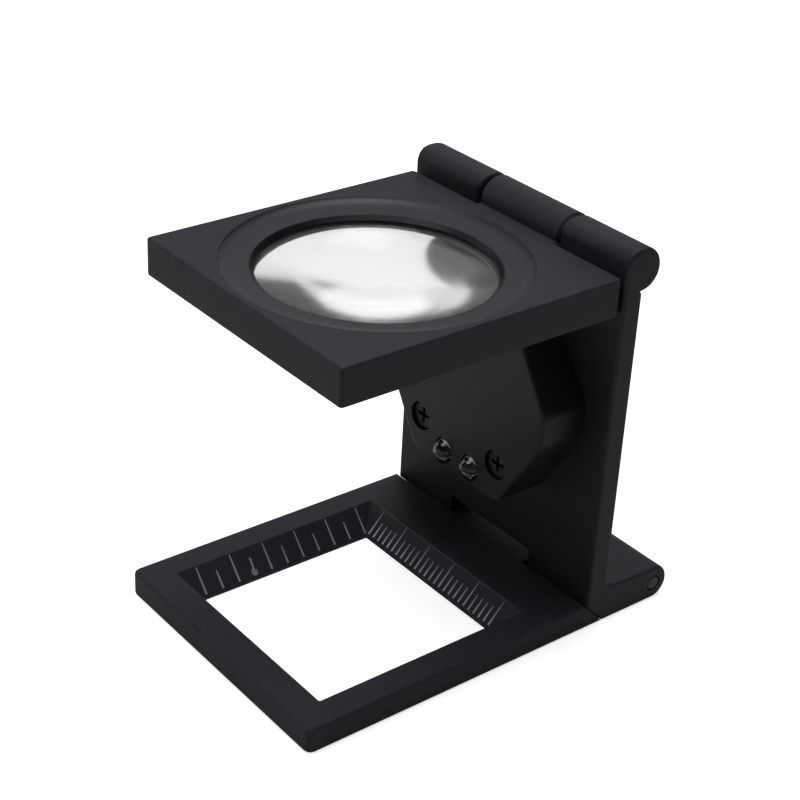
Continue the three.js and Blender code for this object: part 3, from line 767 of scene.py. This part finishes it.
def smear():
    """A small hooked stroke that starts up along the mark and curls round at the foot of the bevel."""
    mark = WINDOW_MIDDLE + TENTH_INCH * (SMEAR_MARK - (LEFT_MARKS - 1) / 2)
    foot = Vector((-HALF_OPENING, mark, WINDOW_LIP))
    slope = Vector((HALF_OPENING - HALF_TOP, 0, BASE_TOP - WINDOW_LIP))
    along = slope.normalized()
    outwards = out_of_bevel(along, BACKWARDS)
    centre = foot + slope * SMEAR_FOOT_SHARE
    path = [foot + slope * SMEAR_TAIL_SHARE + BACKWARDS * SMEAR_STROKE]
    for k in range(SMEAR_STEPS + 1):
        turn = math.radians(SMEAR_DEGREES) * k / SMEAR_STEPS
        up_bevel = along * (SMEAR_HEIGHT * math.cos(turn))
        forwards = BACKWARDS * (SMEAR_WIDTH * math.sin(turn))
        path.append(centre + up_bevel - forwards)
    work = bmesh.new()
    proud = outwards * SMEAR_PROUD
    previous = None
    for k, point in enumerate(path):
        ahead = path[min(k + 1, len(path) - 1)] - path[max(k - 1, 0)]
        width = (SMEAR_STROKE * (1 + math.sin(k)) / 2 + SMEAR_STROKE) / 2
        side = outwards.cross(ahead.normalized()) * width
        offsets = (-side, proud - side / 2, proud + side / 2, side)
        ring = [work.verts.new(point + offset) for offset in offsets]
        if previous:
            for i in range(len(ring) - 1):
                work.faces.new([previous[i], previous[i + 1], ring[i + 1], ring[i]])
        previous = ring
    new_piece("paint_smear", work, [mark_paint], "base")


smear()


def painted_seam_shade():
    """A thin black sheet of painted shade that runs from near the left end of the seam to its right end.
    """
    low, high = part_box("base_frame")
    foot = SEAM_FOOT - SEAM_SHADE_LOW
    top = SEAM_FOOT - BASE_TOP + SEAM_SHADE_END
    rise = BASE_TOP - SEAM_SHADE_END
    outline = (
        (foot, SEAM_SHADE_LOW),
        (foot + SEAM_SHADE_THICKNESS, SEAM_SHADE_LOW + SEAM_SHADE_THICKNESS),
        (top + SEAM_SHADE_THICKNESS, rise + SEAM_SHADE_THICKNESS),
        (top, rise),
    )
    start = low[0] + SEAM_SHADE_START
    end = high[0] - SEAM_SHADE_END
    work = bmesh.new()
    closed_prism(work, [(start, y, z) for y, z in outline], [(end, y, z) for y, z in outline])
    # The sheet is painted shade, in the near-black rim material.
    new_piece("painted_seam_shade", work, [black_rim_and_seam_shade], "base")


painted_seam_shade()


# Lens
def lens():
    """Two spherical faces and a blackened rim, as large as the solid it stands for."""
    radius = (lens_high.x - lens_low.x) / 2
    half_edge = (lens_high.z - lens_low.z) / 2 - LENS_SAG
    bend = (radius ** 2 + LENS_SAG ** 2) / (2 * LENS_SAG)
    reaches = [radius * k / LENS_RINGS for k in range(LENS_RINGS + 1)]
    rises = [math.sqrt(bend ** 2 - reach ** 2) - (bend - LENS_SAG) for reach in reaches]
    upper = [(reach, half_edge + rise) for reach, rise in zip(reaches, rises)]
    lower = [(reach, -half_edge - rise) for reach, rise in zip(reaches, rises)]
    indices = [0] * LENS_RINGS + [1] + [0] * LENS_RINGS
    work = bmesh.new()
    turned(work, upper + lower[::-1], LENS_TURNS, Matrix.Translation(lens_centre), indices)
    piece = new_piece("lens_glass", work, [lens_glass, black_rim_and_seam_shade], "lens_plate")
    soften(piece)
    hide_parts("lens")


lens()


# Diodes
def post(work, place, x, top, bottom):
    """A square metal post inside the resin."""
    half = POST_WIDTH / 2
    corners = ((x - half, -half), (x + half, -half), (x + half, half), (x - half, half))
    low = [place @ Vector((*corner, bottom)) for corner in corners]
    high = [place @ Vector((*corner, top)) for corner in corners]
    closed_prism(work, low, high)


def diode_resin(side, place):
    """The clear dome and its flange, which stand for the whole diode."""
    angles = [math.pi / 2 * k / DOME_STEPS for k in range(DOME_STEPS + 1)]
    dome = [(DOME_RADIUS * math.sin(angle), -DOME_RADIUS * (1 - math.cos(angle))) for angle in angles]
    foot = [
        (DOME_RADIUS, FLANGE_HEIGHT - DIODE_LENGTH),
        (FLANGE_RADIUS, FLANGE_HEIGHT - DIODE_LENGTH),
        (FLANGE_RADIUS, -DIODE_LENGTH),
        (0, -DIODE_LENGTH),
    ]
    work = bmesh.new()
    turned(work, dome + foot, DIODE_TURNS, place)
    resin = new_piece(f"diode_{side}_resin", work, [clear_resin], "upright")
    soften(resin)
    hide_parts(f"led_{side}")


def diode_cup(side, place, lip, bottom, inner_floor):
    """The metal cup with its post, and the second post beside it."""
    cup = [
        (0, bottom),
        (CUP_RADIUS / 2, bottom),
        (CUP_RADIUS, lip),
        (CUP_RADIUS - CUP_WALL, lip),
        (CUP_RADIUS / 2 - CUP_WALL, inner_floor),
        (0, inner_floor),
    ]
    work = bmesh.new()
    turned(work, cup, CUP_TURNS, place)
    post(work, place, 0.0, bottom, POST_FOOT - DIODE_LENGTH)
    post(work, place, POST_GAP, lip, POST_FOOT - DIODE_LENGTH)
    soften(new_piece(f"diode_{side}_cup", work, [cell_steel], "upright"))


def diode_phosphor(side, place, lip, inner_floor):
    """The drop of phosphor in the cup."""
    drop = [
        (0, inner_floor + CUP_WALL),
        (CUP_RADIUS / 2, inner_floor + CUP_WALL),
        (CUP_RADIUS - 2 * CUP_WALL, lip),
        (CUP_RADIUS / 2, lip + CUP_WALL),
        (0, lip + 2 * CUP_WALL),
    ]
    work = bmesh.new()
    turned(work, drop, CUP_TURNS, place)
    soften(new_piece(f"diode_{side}_phosphor", work, [phosphor], "upright"))


def diode(side, x):
    """One diode, its axis pointing out of the face and down to the window."""
    middle = Matrix.Translation(DIODE_PLACE + RIGHTWARDS * x)
    tilt = Matrix.Rotation(math.radians(DIODE_DEGREES), 4, "X")
    place = middle @ tilt @ Matrix.Translation((0.0, 0.0, DIODE_PROUD))
    lip = -CUP_DEPTH
    bottom = lip - CUP_HEIGHT
    inner_floor = bottom + 2 * CUP_WALL
    diode_resin(side, place)
    diode_cup(side, place, lip, bottom, inner_floor)
    diode_phosphor(side, place, lip, inner_floor)


diode("left", -DIODE_OFFSET)
diode("right", DIODE_OFFSET)


# Floor and surroundings
def seen_by(nodes, links, kinds):
    """1 for rays of the kinds named, and 0 for all others."""
    path = nodes.new("ShaderNodeLightPath")
    total = path.outputs[kinds[0]]
    for kind in kinds[1:]:
        either = nodes.new("ShaderNodeMath")
        either.operation = "MAXIMUM"
        links.new(total, either.inputs[0])
        links.new(path.outputs[kind], either.inputs[1])
        total = either.outputs["Value"]
    return total


def floor():
    """A pale floor that keeps the soft shadow, with a glow that only the camera and clear pieces see."""
    mesh = bpy.data.meshes.new("floor")
    half = FLOOR_SIZE / 2
    corners = [(-half, -half, 0), (half, -half, 0), (half, half, 0), (-half, half, 0)]
    mesh.from_pydata(corners, [], [tuple(range(len(corners)))])
    plane = bpy.data.objects.new("floor", mesh)
    bpy.context.scene.collection.objects.link(plane)
    surface = Surface("floor_paper")
    surface.shader.inputs["Base Color"].default_value = (*FLOOR_COLOR, 1.0)
    surface.shader.inputs["Roughness"].default_value = FLOOR_ROUGHNESS
    surface.shader.inputs["Specular IOR Level"].default_value = 0.0
    nodes = surface.nodes
    links = surface.links
    in_glass = surface.scaled(seen_by(nodes, links, ("Is Transmission Ray",)), GLASS_GLOW_SHARE)
    seen = surface.combined("MAXIMUM", seen_by(nodes, links, ("Is Camera Ray",)), in_glass)
    level = surface.spread(surface.reach(ORIGIN), FLOOR_GLOW, FAR_GLOW, FAR_GLOW_FROM, FAR_GLOW_TO)
    glow = nodes.new("ShaderNodeEmission")
    glow.inputs["Color"].default_value = (*WHITE, 1.0)
    links.new(surface.combined("MULTIPLY", seen, level), glow.inputs["Strength"])
    total = nodes.new("ShaderNodeAddShader")
    links.new(surface.shader.outputs["BSDF"], total.inputs[0])
    links.new(glow.outputs["Emission"], total.inputs[1])
    links.new(total.outputs["Shader"], nodes["Material Output"].inputs["Surface"])
    mesh.materials.append(surface.material)


floor()


def world():
    """White for the camera and the glass past the floor, a faint sheen for gloss, and next to no light."""
    sky = bpy.data.worlds.new("studio")
    bpy.context.scene.world = sky
    sky.use_nodes = True
    nodes = sky.node_tree.nodes
    links = sky.node_tree.links
    background = nodes["Background"]
    background.inputs["Color"].default_value = (*WHITE, 1.0)
    level = nodes.new("ShaderNodeMapRange")
    level.inputs["To Min"].default_value = WORLD_LIGHT
    level.inputs["To Max"].default_value = WORLD_GLOW
    sheen = nodes.new("ShaderNodeMath")
    sheen.operation = "MULTIPLY"
    sheen.inputs[1].default_value = WORLD_GLOSS_SHARE
    links.new(seen_by(nodes, links, ("Is Glossy Ray",)), sheen.inputs[0])
    brighter = nodes.new("ShaderNodeMath")
    brighter.operation = "MAXIMUM"
    links.new(seen_by(nodes, links, ("Is Camera Ray", "Is Transmission Ray")), brighter.inputs[0])
    links.new(sheen.outputs["Value"], brighter.inputs[1])
    links.new(brighter.outputs["Value"], level.inputs["Value"])
    links.new(level.outputs["Result"], background.inputs["Strength"])


world()


def soft_box(name, place, size, power):
    """A square soft box aimed at the middle of the part."""
    data = bpy.data.lights.new(name, "AREA")
    data.shape = "SQUARE"
    data.size = size
    data.energy = power
    light = bpy.data.objects.new(name, data)
    bpy.context.scene.collection.objects.link(light)
    light.location = place
    light.rotation_euler = (LIGHT_AIM - Vector(place)).to_track_quat("-Z", "Y").to_euler()


for box_name, box_place, box_size, box_power in SOFT_BOXES:
    soft_box(box_name, box_place, box_size, box_power)


def camera():
    """The photograph's view."""
    azimuth = math.radians(CAMERA_AZIMUTH)
    elevation = math.radians(CAMERA_ELEVATION)
    roll = math.radians(CAMERA_ROLL)
    back = Vector((
        math.sin(azimuth) * math.cos(elevation),
        -math.cos(azimuth) * math.cos(elevation),
        math.sin(elevation),
    ))
    right = Vector((math.cos(azimuth), math.sin(azimuth), 0.0))
    up = back.cross(right)
    rolled_right = right * math.cos(roll) + up * math.sin(roll)
    rolled_up = up * math.cos(roll) - right * math.sin(roll)
    data = bpy.data.cameras.new("photo_camera")
    data.lens = CAMERA_LENS
    data.sensor_width = CAMERA_SENSOR
    data.clip_start = CAMERA_NEAR
    holder = bpy.data.objects.new("photo_camera", data)
    bpy.context.scene.collection.objects.link(holder)
    turn = Matrix((rolled_right, rolled_up, back)).transposed()
    holder.matrix_world = Matrix.Translation(CAMERA_PLACE) @ turn.to_4x4()
    bpy.context.scene.camera = holder


camera()
bpy.context.scene.view_settings.view_transform = "Standard"
